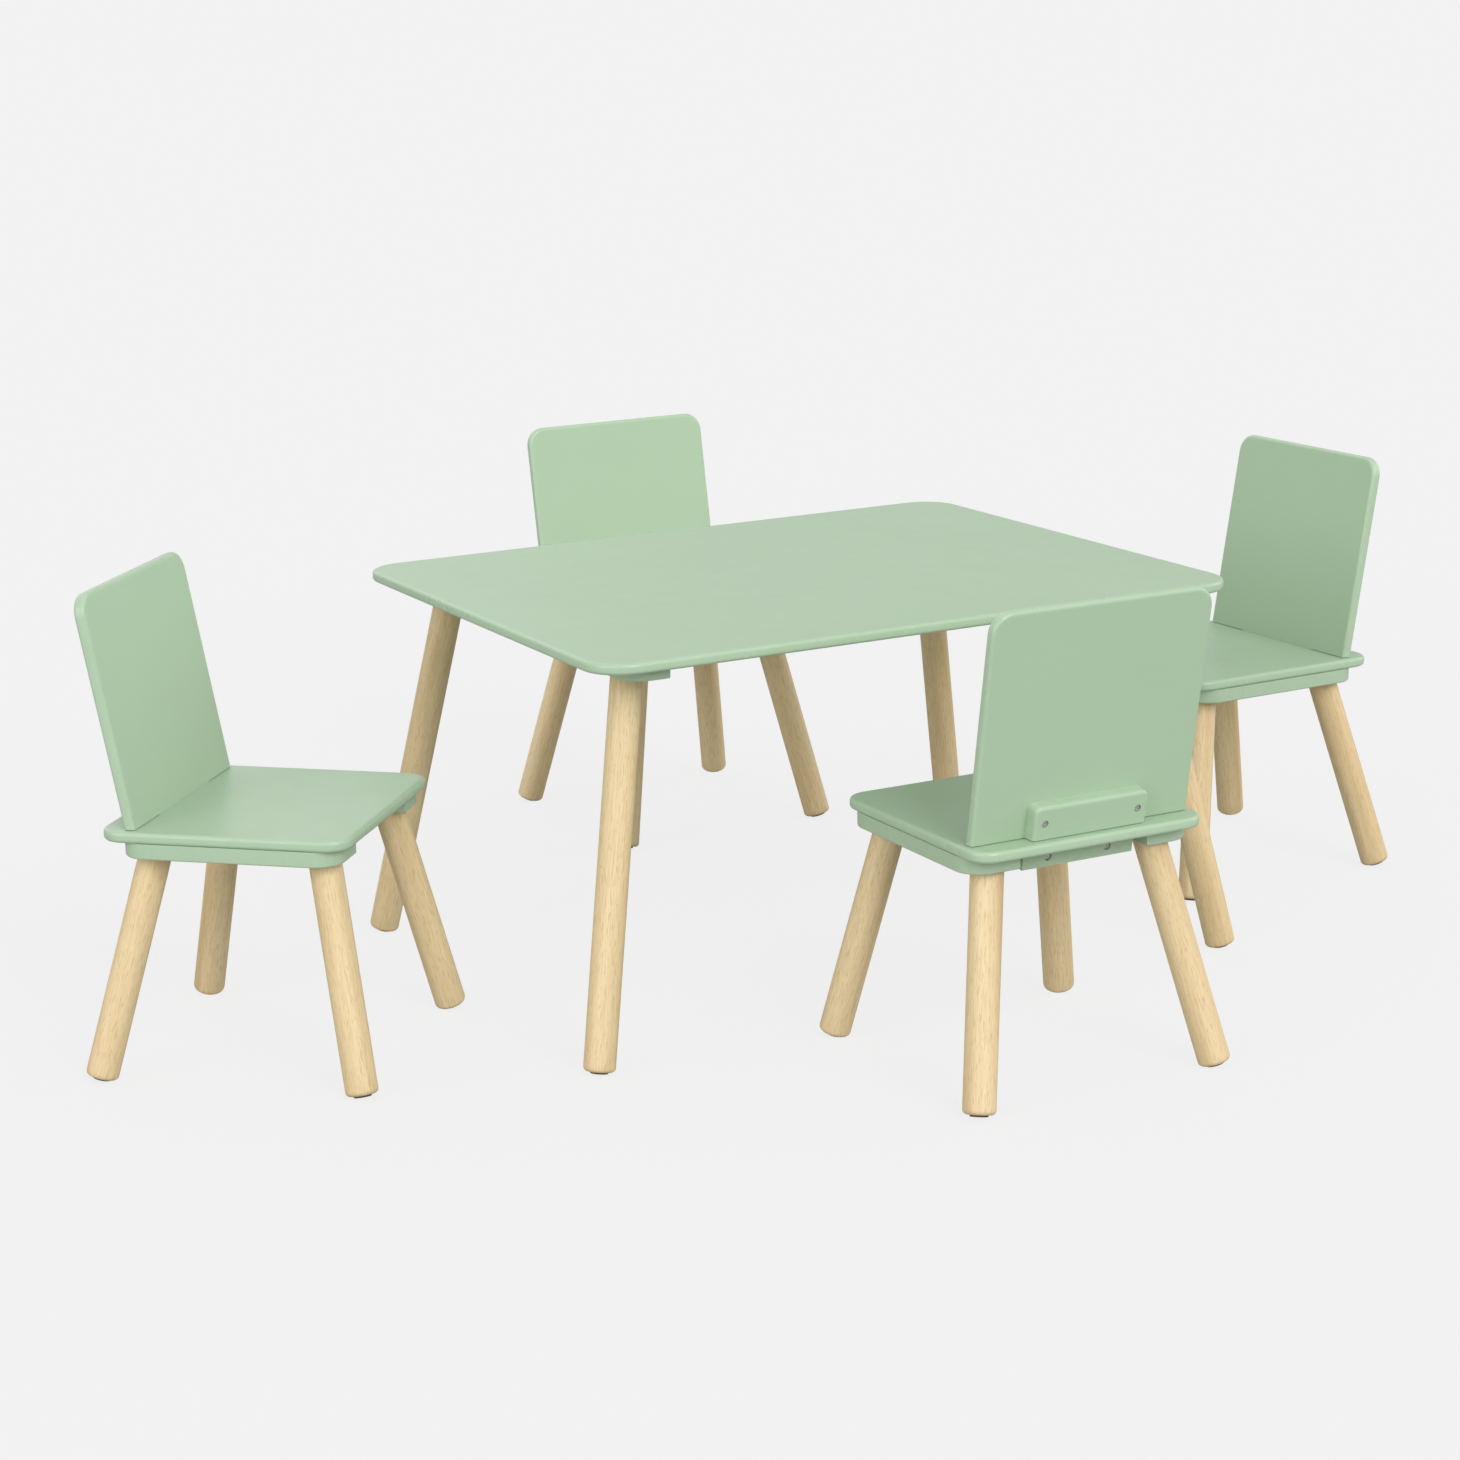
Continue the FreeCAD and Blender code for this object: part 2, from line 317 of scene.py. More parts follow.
def zinc_steel(name):
    """Zinc-plated steel: faint cloudy tone and fine turning marks."""
    bench = Bench(name)
    where = bench.place()
    cloud = bench.noise(where, scale=900.0, detail=3.0, roughness=0.6)
    marks = bench.noise(where, scale=4000.0)
    return bench.finish({
        "Base Color": bench.blend(bench.between(cloud, 0.3, 0.7), ZINC_DARK, ZINC_LIGHT),
        "Roughness": bench.between(cloud, 0.3, 0.7, to_low=0.28, to_high=0.45),
        "Metallic": 1.0,
        "Normal": bench.bump(marks, strength=0.2, distance=0.0001)})


def brown_pad(name):
    """Pressed brown felt: short fibres and slightly lighter worn tufts."""
    bench = Bench(name)
    where = bench.place()
    fluff = bench.noise(where, scale=1600.0, detail=4.0, roughness=0.7)
    wear = bench.noise(where, scale=260.0)
    colour = bench.blend(bench.between(fluff, 0.3, 0.7), FELT_DARK, FELT_LIGHT)
    colour = bench.blend(bench.between(wear, 0.55, 0.75, to_high=0.3), colour, FELT_WORN)
    return bench.finish({
        "Base Color": colour,
        "Roughness": bench.between(fluff, 0.3, 0.7, to_low=0.8, to_high=0.95),
        "Normal": bench.bump(fluff, strength=0.8, distance=0.0005)})


PAINT_LIGHT = tone(0.420, 0.570, 0.396)
PAINT_DARK = tone(0.410, 0.558, 0.386)
# The lighter tone is used for fine specks and for the rims, where it is partly rubbed wear and
# partly a painted highlight.
PAINT_WORN_AND_HIGHLIGHT = tone(0.560, 0.690, 0.540)
BAND_DARK = tone(0.665, 0.490, 0.262)
BAND_MIDDLE = tone(0.790, 0.620, 0.362)
BAND_LIGHT = tone(0.865, 0.705, 0.440)
WOOD_WARM = tone(0.86, 0.63, 0.37)
FIBRE_DARK = tone(0.62, 0.44, 0.215)
PORE_DARK = tone(0.50, 0.33, 0.155)
ZINC_DARK = tone(0.58, 0.58, 0.56)
ZINC_LIGHT = tone(0.80, 0.80, 0.78)
FELT_DARK = tone(0.075, 0.042, 0.025)
FELT_LIGHT = tone(0.17, 0.10, 0.06)
FELT_WORN = tone(0.24, 0.17, 0.11)
finishes = {
    "table_paint": sage_paint("table_sage", PAINT_LIGHT, PAINT_DARK, PAINT_WORN_AND_HIGHLIGHT),
    "chair_paint": sage_paint("chair_sage", PAINT_LIGHT, PAINT_DARK, PAINT_WORN_AND_HIGHLIGHT),
    "leg_wood": leg_wood("pale_wood"),
    "screw_steel": zinc_steel("zinc_steel"),
    "pad_brown": brown_pad("brown_felt"),
}

slot_of = {entry["node"]: entry["material_slot"] for entry in frame["record"]["subparts"]}
body_of = {}
for body_name, members in frame["record"]["behaviour"]["bodies"].items():
    for member in members:
        body_of[member] = body_name

for node_name, node in frame["nodes"].items():
    node.data.materials.clear()
    node.data.materials.append(finishes[slot_of[node_name]])


# ---------------------------------------------------------------- mesh helpers

def loop_faces(rings, around):
    """Quads between neighbouring rings of a grid, each ring closed round on itself."""
    ring = np.arange(rings - 1)[:, None]
    step = np.arange(around)[None, :]
    after = (step + 1) % around
    a = ring * around + step
    b = ring * around + after
    return np.stack([a, b, b + around, a + around], axis=-1).reshape(-1, 4).tolist()


def turned_round(faces):
    """The same faces seen from their other side."""
    return [face[::-1] for face in faces]


def end_faces(rings, around):
    """The first and the last ring of a grid, each as one face, both turned the same way."""
    return [list(range(around)), list(range((rings - 1) * around, rings * around))]


def closed_grid(rings, around):
    """Faces of a closed shape whose rings go anticlockwise from its top down to its bottom."""
    top, bottom = end_faces(rings, around)
    return turned_round(loop_faces(rings, around)) + [top, bottom[::-1]]


def shifted(faces, first):
    """The same faces for points that start at another place in the list."""
    return [[index + first for index in face] for face in faces]


def plain_mesh(name, points, faces):
    """Mesh with these points and faces, not yet on any object."""
    mesh = bpy.data.meshes.new(name)
    mesh.from_pydata(points, [], faces)
    mesh.update()
    return mesh


def store_mark(mesh, mark):
    """Keeps how near each point is to a rim, for the paint to be lighter there, partly as rubbed
    wear and partly as a painted highlight.
    """
    store = mesh.attributes.new("rim", "FLOAT", "POINT")
    store.data.foreach_set("value", np.asarray(mark, dtype=np.float32))


def make_piece(name, mesh, node_name):
    """Object at the origin that stands for one CAD node and rides on its body."""
    mesh.name = name
    mesh.shade_smooth()
    mesh.set_sharp_from_angle(angle=SHARP_ANGLE)
    piece = bpy.data.objects.new(name, mesh)
    bpy.context.scene.collection.objects.link(piece)
    mesh.materials.append(finishes[slot_of[node_name]])
    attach(piece, body_of[node_name])
    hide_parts(node_name)


def make_board(name, points, faces, mark, node_name):
    """A painted piece: its mesh keeps the rim mark."""
    mesh = plain_mesh(name, points, faces)
    store_mark(mesh, mark)
    make_piece(name, mesh, node_name)


def quarter(steps):
    """Angles from 0 to a quarter turn."""
    return np.linspace(0.0, math.pi / 2, steps)


def chair_to_set(points, chair):
    """Chair axes to set axes: turn about the upright by facing - 90 degrees, then move.

    The table's own points, which have no chair, are only moved.
    """
    if chair is None:
        return points + ORIGIN
    x, y, facing = CHAIRS[chair]
    turn = math.radians(facing - 90.0)
    c, s = math.cos(turn), math.sin(turn)
    matrix = np.array([[c, s, 0.0], [-s, c, 0.0], [0.0, 0.0, 1.0]])
    return points @ matrix + np.array([x, y, 0.0]) + ORIGIN


# ---------------------------------------------------------------- legs and foot pads

def leg_frame(top, splay, rail_under):
    """Leg axis from its top centre at the rail to its foot centre, with two square directions."""
    start = np.array([top[0], top[1], rail_under])
    end = np.array([top[0] + splay[0], top[1] + splay[1], FOOT_LEVEL])
    down = (end - start) / np.linalg.norm(end - start)
    side = np.cross(down, [0.0, 1.0, 0.0])
    side = side / np.linalg.norm(side)
    return start, down, side, np.cross(down, side)


def foot_end(start, down):
    """Centre of the square-cut foot end: its pad is pressed a little into the floor."""
    lean = math.sqrt(1.0 - down[2] ** 2)
    height = PAD_RADIUS * lean - PAD_THICK * down[2] - PAD_PRESS
    return start + down * ((height - start[2]) / down[2])


def circle_round(side, other, around):
    """Unit circle in the plane of two square directions."""
    angle = np.linspace(0.0, 2.0 * math.pi, around, endpoint=False)[:, None]
    return np.cos(angle) * side + np.sin(angle) * other


def leg_surface(start, down, side, other):
    """Turned leg: circle of radius R carried along the axis.

    From the foot: flat end disc, quarter-round rim, then straight rings whose distance along
    the axis runs from the rim to where each generator meets the rail's underside plane.
    """
    radial = circle_round(side, other, LEG_AROUND)
    reach = np.dot(foot_end(start, down) - start, down)
    turn = quarter(EDGE_STEPS)
    flat = np.array(FOOT_FACE_SHARES) * (LEG_RADIUS - LEG_FOOT_EDGE)
    radius = np.concatenate([flat, LEG_RADIUS - LEG_FOOT_EDGE * (1.0 - np.sin(turn))])
    back = np.concatenate([np.zeros(len(flat)), LEG_FOOT_EDGE * (1.0 - np.cos(turn))])
    rim = start + down * (reach - back)[:, None, None] + radial * radius[:, None, None]
    share = np.linspace(0.0, 1.0, LEG_ALONG)[1:][:, None]
    top = -LEG_RADIUS * radial[:, 2] / down[2]
    bottom = reach - LEG_FOOT_EDGE
    distance = bottom + (top[None, :] - bottom) * share
    shank = start + down * distance[:, :, None] + radial * LEG_RADIUS
    return np.concatenate([rim, shank], axis=0)


def add_leg(name, node_name, top, splay, rail_under, seed, chair=None):
    """One leg; its grain attribute holds leg axes, turned and shifted by its own seed."""
    start, down, side, other = leg_frame(top, splay, rail_under)
    rings = leg_surface(start, down, side, other)
    points = rings.reshape(-1, 3)
    away = points - start
    spin = GRAIN_TURN * seed
    across, over = away @ side, away @ other
    grain = np.stack([across * math.cos(spin) - over * math.sin(spin),
                      across * math.sin(spin) + over * math.cos(spin),
                      away @ down], axis=-1) + seed * np.array(GRAIN_SHIFTS)
    mesh = plain_mesh(name, chair_to_set(points, chair), closed_grid(*rings.shape[:2]))
    store = mesh.attributes.new("grain", "FLOAT_VECTOR", "POINT")
    store.data.foreach_set("vector", grain.astype(np.float32).ravel())
    make_piece(name, mesh, node_name)


def pad_surface(start, down, side, other):
    """Felt pad: circle of radius r square to the leg, carried t along it, edge softened.

    Whatever would reach under the floor is pressed up to z = 0.
    """
    radial = circle_round(side, other, PAD_AROUND)
    inset, depth = np.array(PAD_SECTION).T[:, :, None, None]
    rings = foot_end(start, down) + radial * (PAD_RADIUS - inset) + down * depth
    rings[:, :, 2] = np.maximum(rings[:, :, 2], 0.0)
    return rings


def add_pads(name, node_name, legs, chair=None):
    """All the pads of one body as one piece."""
    points, faces = [], []
    for top, splay, rail_under in legs:
        rings = pad_surface(*leg_frame(top, splay, rail_under))
        count, around = rings.shape[:2]
        upper, lower = end_faces(count, around)
        first = len(points) * count * around
        faces += shifted(loop_faces(count, around) + [upper[::-1], lower], first)
        points.append(rings.reshape(-1, 3))
    placed = chair_to_set(np.concatenate(points), chair)
    make_piece(name, plain_mesh(name, placed, faces), node_name)


SIDES = ((-1, "left"), (1, "right"))
CHAIR_LEG_ENDS = ((CHAIR_LEG_FRONT_Y, CHAIR_SPLAY_FRONT, "front"),
                  (CHAIR_LEG_REAR_Y, CHAIR_SPLAY_REAR, "rear"))

table_legs = []
seed = 1
for sx, side_name in SIDES:
    for sy, end_name in ((-1, "front"), (1, "rear")):
        leg = ((sx * TABLE_LEG_X, sy * TABLE_LEG_Y),
               (sx * TABLE_SPLAY_X, sy * TABLE_SPLAY_Y), TABLE_RAIL_UNDER)
        table_legs.append(leg)
        corner = end_name + "_" + side_name
        add_leg("table_wood_leg_" + corner, "table_leg_" + corner, *leg, seed)
        seed += 1
add_pads("table_felt_pads", "table_foot_pads", table_legs)

for chair in CHAIRS:
    legs = []
    for sx, side_name in SIDES:
        for leg_y, splay_y, end_name in CHAIR_LEG_ENDS:
            leg = ((sx * CHAIR_LEG_X, leg_y), (sx * CHAIR_SPLAY_X, splay_y), CHAIR_RAIL_UNDER)
            legs.append(leg)
            corner = end_name + "_" + side_name
            add_leg(chair + "_wood_leg_" + corner, chair + "_leg_" + corner, *leg, seed, chair)
            seed += 1
    add_pads(chair + "_felt_pads", chair + "_foot_pads", legs, chair)


# ---------------------------------------------------------------- boards

def outline(low, high, radii, inset, run=BOARD_RUN):
    """Rounded rectangle, drawn in by an inset; corners go anticlockwise from the low corner.

    A corner of radius r keeps its centre, so its arc has radius r - inset; a square corner is
    one point on the diagonal. The straights between are shared out evenly.
    """
    x0, y0, x1, y1 = low[0] + inset, low[1] + inset, high[0] - inset, high[1] - inset
    corners = ((x0, y0, 1, 1, 180.0), (x1, y0, -1, 1, 270.0),
               (x1, y1, -1, -1, 0.0), (x0, y1, 1, -1, 90.0))
    arcs = []
    for (cx, cy, ix, iy, first), radius in zip(corners, radii):
        if radius <= 0.0:
            arcs.append(np.array([[cx, cy]]))
            continue
        left = max(radius - inset, 0.0)
        angle = np.radians(first + np.linspace(0.0, 90.0, CORNER_STEPS))
        arcs.append(np.stack([cx + ix * left + left * np.cos(angle),
                              cy + iy * left + left * np.sin(angle)], axis=-1))
    parts = []
    for index in range(4):
        start, end = arcs[index][-1], arcs[(index + 1) % 4][0]
        share = np.linspace(0.0, 1.0, run + 1)[1:-1, None]
        parts += [arcs[index], start + (end - start) * share]
    return np.concatenate(parts)


def rim_profile(low, high, edge, over, under):
    """Section of a board's rim from the top face to the bottom face, as (inset, height) pairs.

    A rounded edge is a quarter circle: inset = e(1 - sin a), drop = e(1 - cos a).
    """
    turn = quarter(EDGE_STEPS)
    inset, drop = edge * (1.0 - np.sin(turn)), edge * (1.0 - np.cos(turn))
    pairs = []
    if over:
        pairs += [(edge + FLAT_RING, high)] + list(zip(inset, high - drop))
    else:
        pairs += [(FLAT_RING, high), (0.0, high)]
    if under:
        pairs += list(zip(inset[::-1], low + drop[::-1])) + [(edge + FLAT_RING, low)]
    else:
        pairs += [(0.0, low), (FLAT_RING, low)]
    return pairs


def rim_mark(pairs, edge, around):
    """How near each point is to the rim: 1 on the side, 0 on the flat faces."""
    level = [max(0.0, 1.0 - inset / edge) for inset, height in pairs]
    return np.repeat(np.array(level), around)


def rim_rings(pairs, low, high, radii, run=BOARD_RUN):
    """A section's (inset, height) pairs, each carried round the rounded rectangle as a ring."""
    rings = []
    for inset, height in pairs:
        flat = outline(low, high, radii, inset, run)
        rings.append(np.column_stack([flat, np.full(len(flat), height)]))
    return rings


def board_surface(low, high, radii, under, top, edge, over_round=True):
    """Board: the rim section carried round the rounded rectangle, closed by its two flat faces."""
    pairs = rim_profile(under, top, edge, over_round, True)
    rings = rim_rings(pairs, low, high, radii)
    around = len(rings[0])
    faces = closed_grid(len(rings), around)
    return np.concatenate(rings), faces, rim_mark(pairs, edge, around)


def seat_surface():
    """Seat: a board rim whose two faces run in to a leaning rectangular slot, closed by its walls.

    Each point of the slot's ring lies where the ray from the slot's centre to its rim point
    crosses the slot's outline, and the four nearest points are put on its corners.
    """
    half = np.array([SEAT_WIDTH / 2, SEAT_DEPTH / 2])
    pairs = rim_profile(SEAT_UNDER, SEAT_HEIGHT, BOARD_EDGE, True, True)
    rings = rim_rings(pairs, -half, half, [SEAT_CORNER] * 4, SEAT_RUN)
    around = len(rings[0])
    slot_depth = (BOARD / 2 + SLOT_CLEAR) / math.cos(BACK_LEAN)
    slot_half = np.array([TONGUE_HALF + SLOT_CLEAR, slot_depth])
    middle = -SEAT_DEPTH / 2 + BACK_SETBACK + BOARD / 2 / math.cos(BACK_LEAN)
    ray = rings[0][:, :2] - np.array([0.0, middle])
    reach = np.min(slot_half / np.maximum(np.abs(ray), 1e-9), axis=1)
    slot = ray * reach[:, None]
    for corner in ((-1, -1), (1, -1), (1, 1), (-1, 1)):
        target = slot_half * np.array(corner)
        gap = np.abs(np.arctan2(ray[:, 1], ray[:, 0]) - math.atan2(target[1], target[0]))
        slot[np.argmin(gap)] = target
    slots = []
    for height in (SEAT_HEIGHT, SEAT_UNDER):
        centre = np.array([0.0, middle + (SEAT_HEIGHT - height) * math.tan(BACK_LEAN)])
        slots.append(np.column_stack([slot + centre, np.full(around, height)]))
    rings = [slots[0]] + rings + [slots[1], slots[0]]
    faces = turned_round(loop_faces(len(rings), around))
    rim = rim_mark(pairs, BOARD_EDGE, around)
    mark = np.concatenate([np.zeros(around), rim, np.zeros(2 * around)])
    return np.concatenate(rings), faces, mark


def leaned_to_chair(across, rise, forward):
    """Backrest axes to chair axes: the rear face stands on the seat and leans back."""
    foot = np.array([0.0, -SEAT_DEPTH / 2 + BACK_SETBACK, SEAT_HEIGHT])
    up = np.array([0.0, -math.sin(BACK_LEAN), math.cos(BACK_LEAN)])
    front = np.array([0.0, math.cos(BACK_LEAN), math.sin(BACK_LEAN)])
    return (foot + across[:, None] * np.array([1.0, 0.0, 0.0]) + rise[:, None] * up
            + forward[:, None] * front)


def standing_loop(half, top, corner, inset, shrink, forward, tongue=None):
    """One ring of an upright board: up the left side, over the rounded top, down the right side.

    Its lower edge lies a joint line above the seat, where rise = -forward * tan(lean). With a
    tongue, the ring also goes down round the tongue's square end.
    """
    reach = half - inset - shrink
    high = top - inset - shrink
    radius = max(corner - inset - shrink, 0.0)
    foot = -forward * math.tan(BACK_LEAN) + shrink + JOINT_LINE
    angle = np.linspace(0.0, 90.0, CORNER_STEPS)
    left = np.radians(180.0 - angle)
    right = np.radians(90.0 - angle)
    side = np.linspace(0.0, 1.0, BOARD_RUN + 1)[:-1]
    flat = np.linspace(-1.0, 1.0, BOARD_RUN + 1)[1:-1]
    climb = foot + (high - radius - foot) * side
    x = [np.full(BOARD_RUN, -reach), -reach + radius + radius * np.cos(left),
         flat * (reach - radius), reach - radius + radius * np.cos(right),
         np.full(BOARD_RUN, reach)]
    rise = [climb, high - radius + radius * np.sin(left), np.full(BOARD_RUN - 1, high),
            high - radius + radius * np.sin(right), climb[::-1]]
    if tongue:
        wide, low = tongue[0] - shrink, -tongue[1] + shrink
        x.append(np.array([wide, wide, -wide, -wide]))
        rise.append(np.array([foot, low, low, foot]))
    x, rise = np.concatenate(x), np.concatenate(rise)
    return leaned_to_chair(x, rise, np.full(len(x), forward))


def standing_surface(half, top, corner, edge, rear, front, round_front, tongue=None):
    """Upright board: rings from its rear face to its front face, their edges quarter-rounded."""
    turn = quarter(EDGE_STEPS)
    inset, drop = edge * (1.0 - np.sin(turn)), edge * (1.0 - np.cos(turn))
    steps = [(edge, FLAT_RING, rear)] + [(i, 0.0, rear + d) for i, d in zip(inset, drop)]
    if round_front:
        steps += [(i, 0.0, front - d) for i, d in zip(inset[::-1], drop[::-1])]
        steps += [(edge, FLAT_RING, front)]
    else:
        steps += [(0.0, 0.0, front), (0.0, FLAT_RING, front)]
    rings = [standing_loop(half, top, corner, *step, tongue) for step in steps]
    around = len(rings[0])
    faces = closed_grid(len(rings), around)
    level = [0.0 if shrink else max(0.0, 1.0 - i / edge) for i, shrink, _ in steps]
    return np.concatenate(rings), faces, np.repeat(np.array(level), around)


def recess_cutter(centres, depth, direction):
    """Round cutters for screw recesses: a cylinder at each centre, from just outside it."""
    side = np.array([1.0, 0.0, 0.0])
    circle = SCREW_RECESS_RADIUS * circle_round(side, np.cross(direction, side), RECESS_AROUND)
    points, faces = [], []
    for index, centre in enumerate(centres):
        points += [centre - direction * RECESS_LEAD + circle, centre + direction * depth + circle]
        outer, inner = end_faces(2, RECESS_AROUND)
        cutter = loop_faces(2, RECESS_AROUND) + [outer[::-1], inner]
        faces += shifted(cutter, 2 * RECESS_AROUND * index)
    return np.concatenate(points), faces


def cut_away(points, faces, mark, cutter_points, cutter_faces):
    """Takes the cutter's solid away from the piece's solid and gives back the new mesh."""
    blank = bpy.data.objects.new("blank", plain_mesh("blank", points, faces))
    cutter = bpy.data.objects.new("cutter", plain_mesh("cutter", cutter_points, cutter_faces))
    store_mark(blank.data, mark)
    for item in (blank, cutter):
        bpy.context.scene.collection.objects.link(item)
    cut = blank.modifiers.new("recess", "BOOLEAN")
    cut.operation = "DIFFERENCE"
    cut.solver = "EXACT"
    cut.object = cutter
    graph = bpy.context.evaluated_depsgraph_get()
    mesh = bpy.data.meshes.new_from_object(blank.evaluated_get(graph))
    for item in (blank, cutter):
        bpy.data.objects.remove(item)
    return mesh


def screw_surface(centre, direction):
    """Recessed screw: a turned section, its head pressed with a cross.

    From the point up the shank, under the head and round its rim; on the head the depth of a
    point (u, v) follows its distance inside two crossed bars, sloping down to the middle.
    """
    side = np.array([1.0, 0.0, 0.0])
    other = np.cross(direction, side)
    angle = np.linspace(0.0, 2.0 * math.pi, SCREW_AROUND, endpoint=False)
    section = [(SCREW_TIP_RADIUS, SCREW_LENGTH), (SCREW_RADIUS, SCREW_LENGTH - SCREW_TIP_TAPER),
               (SCREW_RADIUS, SCREW_HEAD_HEIGHT), (SCREW_HEAD_RADIUS, SCREW_HEAD_HEIGHT)]
    section += [(SCREW_HEAD_RADIUS - inset, depth) for inset, depth in SCREW_HEAD_RIM]
    face = np.linspace(SCREW_FACE_RADIUS, SCREW_FACE_CENTRE, SCREW_FACE_RINGS)
    radius = np.concatenate([[r for r, _ in section], face])[:, None]
    depth = np.concatenate([[d for _, d in section], np.zeros(len(face))])[:, None]
    u = radius * np.cos(angle)
    v = radius * np.sin(angle)
    first = np.maximum(np.abs(u) - CROSS_ARM, np.abs(v) - CROSS_BAR)
    second = np.maximum(np.abs(v) - CROSS_ARM, np.abs(u) - CROSS_BAR)
    inside = np.clip(-np.minimum(first, second) / CROSS_WALL, 0.0, 1.0)
    slope = np.clip(1.0 - CROSS_FALL * radius / CROSS_ARM, 0.0, 1.0)
    press = CROSS_DEPTH * inside * slope
    press[:len(section)] = 0.0
    down = depth + press
    rings = centre + u[:, :, None] * side + v[:, :, None] * other + down[:, :, None] * direction
    count = len(radius)
    tip, middle = end_faces(count, SCREW_AROUND)
    faces = loop_faces(count, SCREW_AROUND) + [tip[::-1], middle]
    return rings.reshape(-1, 3), faces


def mirrored_rail(low_x, high_x, low_y, high_y, corner, sign):
    """Plan of a rail on one side: its two outer corners are rounded."""
    if sign > 0:
        return (low_x, low_y), (high_x, high_y), [0.0, corner, corner, 0.0]
    return (-high_x, low_y), (-low_x, high_y), [corner, 0.0, 0.0, corner]


half_table = np.array([TABLE_LENGTH / 2, TABLE_WIDTH / 2])
points, faces, mark = board_surface(-half_table, half_table, [TABLE_CORNER] * 4, TABLE_UNDER,
                                    TABLE_HEIGHT, BOARD_EDGE)
make_board("table_board", points + ORIGIN, faces, mark, "table_top")
rail_out = TABLE_LENGTH / 2 - TABLE_RAIL_SIDE_INSET
rail_end = TABLE_WIDTH / 2 - TABLE_RAIL_END_INSET
for sign, side_name in SIDES:
    low, high, radii = mirrored_rail(rail_out - TABLE_RAIL_WIDTH, rail_out, -rail_end, rail_end,
                                     TABLE_RAIL_CORNER, sign)
    points, faces, mark = board_surface(low, high, radii, TABLE_RAIL_UNDER, TABLE_UNDER,
                                        RAIL_EDGE, over_round=False)
    make_board("table_batten_" + side_name, points + ORIGIN, faces, mark,
               "table_rail_" + side_name)

into_board = np.array([0.0, math.cos(BACK_LEAN), math.sin(BACK_LEAN)])
both_sides = np.array([-1.0, 1.0])
tongue_screws = leaned_to_chair(both_sides * (TONGUE_HALF - TONGUE_SCREW_INSET),
                                np.full(2, -TONGUE_SCREW_DROP), np.zeros(2))
block_screws = leaned_to_chair(both_sides * (BLOCK_HALF - BLOCK_SCREW_INSET),
                               np.full(2, BLOCK_SCREW_RISE), np.full(2, -BLOCK_DEPTH))
recess_depth = SCREW_RECESS + SCREW_HEAD_HEIGHT + RECESS_CLEAR
seat = seat_surface()
backrest = standing_surface(BACK_WIDTH / 2, BACK_LENGTH, BACK_CORNER, BOARD_EDGE, 0.0, BOARD,
                            round_front=True, tongue=(TONGUE_HALF, TONGUE_LENGTH))
back_block = standing_surface(BLOCK_HALF, BLOCK_HEIGHT, BLOCK_CORNER, BLOCK_EDGE, -BLOCK_DEPTH,
                              0.0, round_front=False)
for chair in CHAIRS:
    points, faces, mark = seat
    make_board(chair + "_seat_board", chair_to_set(points, chair), faces, mark, chair + "_seat")
    for sign, side_name in SIDES:
        low, high, radii = mirrored_rail(CHAIR_RAIL_IN, CHAIR_RAIL_OUT, CHAIR_RAIL_REAR,
                                         CHAIR_RAIL_FRONT, CHAIR_RAIL_CORNER, sign)
        points, faces, mark = board_surface(low, high, radii, CHAIR_RAIL_UNDER, SEAT_UNDER,
                                            RAIL_EDGE, over_round=False)
        make_board(chair + "_batten_" + side_name, chair_to_set(points, chair), faces, mark,
                   chair + "_rail_" + side_name)
    for name, node_name, surface, screws in (
            ("_back_board", "_backrest", backrest, tongue_screws),
            ("_support_block", "_back_block", back_block, block_screws)):
        points, faces, mark = surface
        cutter_points, cutter_faces = recess_cutter(screws, recess_depth, into_board)
        mesh = cut_away(chair_to_set(points, chair), faces, mark,
                        chair_to_set(cutter_points, chair), cutter_faces)
        make_piece(chair + name, mesh, chair + node_name)
    points, faces = [], []
    for centre in np.concatenate([tongue_screws, block_screws]):
        shape, shape_faces = screw_surface(centre + into_board * SCREW_RECESS, into_board)
        faces += shifted(shape_faces, len(points) * len(shape))
        points.append(shape)
    name = chair + "_cross_screws"
    placed = chair_to_set(np.concatenate(points), chair)
    make_piece(name, plain_mesh(name, placed, faces), chair + "_screws")


# ---------------------------------------------------------------- studio

FLOOR_REACH = 90.0
BOUNCE_FLOOR_HEIGHT = -0.003
PAPER_GLOW = tone(0.905, 0.905, 0.905)
PAPER_SHADE = tone(0.70, 0.70, 0.70)
PAPER_SHADOW_SHARE = 0.10
PAPER_BOUNCE = tone(0.43, 0.43, 0.42)
AIR_TONE = tone(0.887, 0.887, 0.887)
AIR_STRENGTH = 0.63
LAMP_DISTANCE = 5.0


def make_floor(name, height, build):
    """Wide flat floor, much larger than the set."""
    corners = [(x * FLOOR_REACH, y * FLOOR_REACH, height)
               for x, y in ((-1, -1), (1, -1), (1, 1), (-1, 1))]
    mesh = plain_mesh(name, corners, [(0, 1, 2, 3)])
    floor = bpy.data.objects.new(name, mesh)
    bpy.context.scene.collection.objects.link(floor)
    bench = Bench(name)
    bench.node("ShaderNodeOutputMaterial", None, {"Surface": build(bench)})
    mesh.materials.append(bench.material)
    return floor


def glowing_paper(bench):
    """Evenly lit pale paper that keeps only a faint soft shadow."""
    glow = bench.node("ShaderNodeEmission", None, {"Color": PAPER_GLOW, "Strength": 1.0})
    matt = bench.node("ShaderNodeBsdfDiffuse", None, {"Color": PAPER_SHADE})
    return bench.node("ShaderNodeMixShader", None, {0: PAPER_SHADOW_SHARE, 1: glow, 2: matt})


def matt_paper(bench):
    """The same paper as the lights see it."""
    return bench.node("ShaderNodeBsdfDiffuse", None, {"Color": PAPER_BOUNCE})


seen_floor = make_floor("studio_floor", 0.0, glowing_paper)
seen_floor.visible_diffuse = False
seen_floor.visible_shadow = False
seen_floor.visible_glossy = False
lit_floor = make_floor("studio_floor_bounce", BOUNCE_FLOOR_HEIGHT, matt_paper)
lit_floor.visible_camera = False

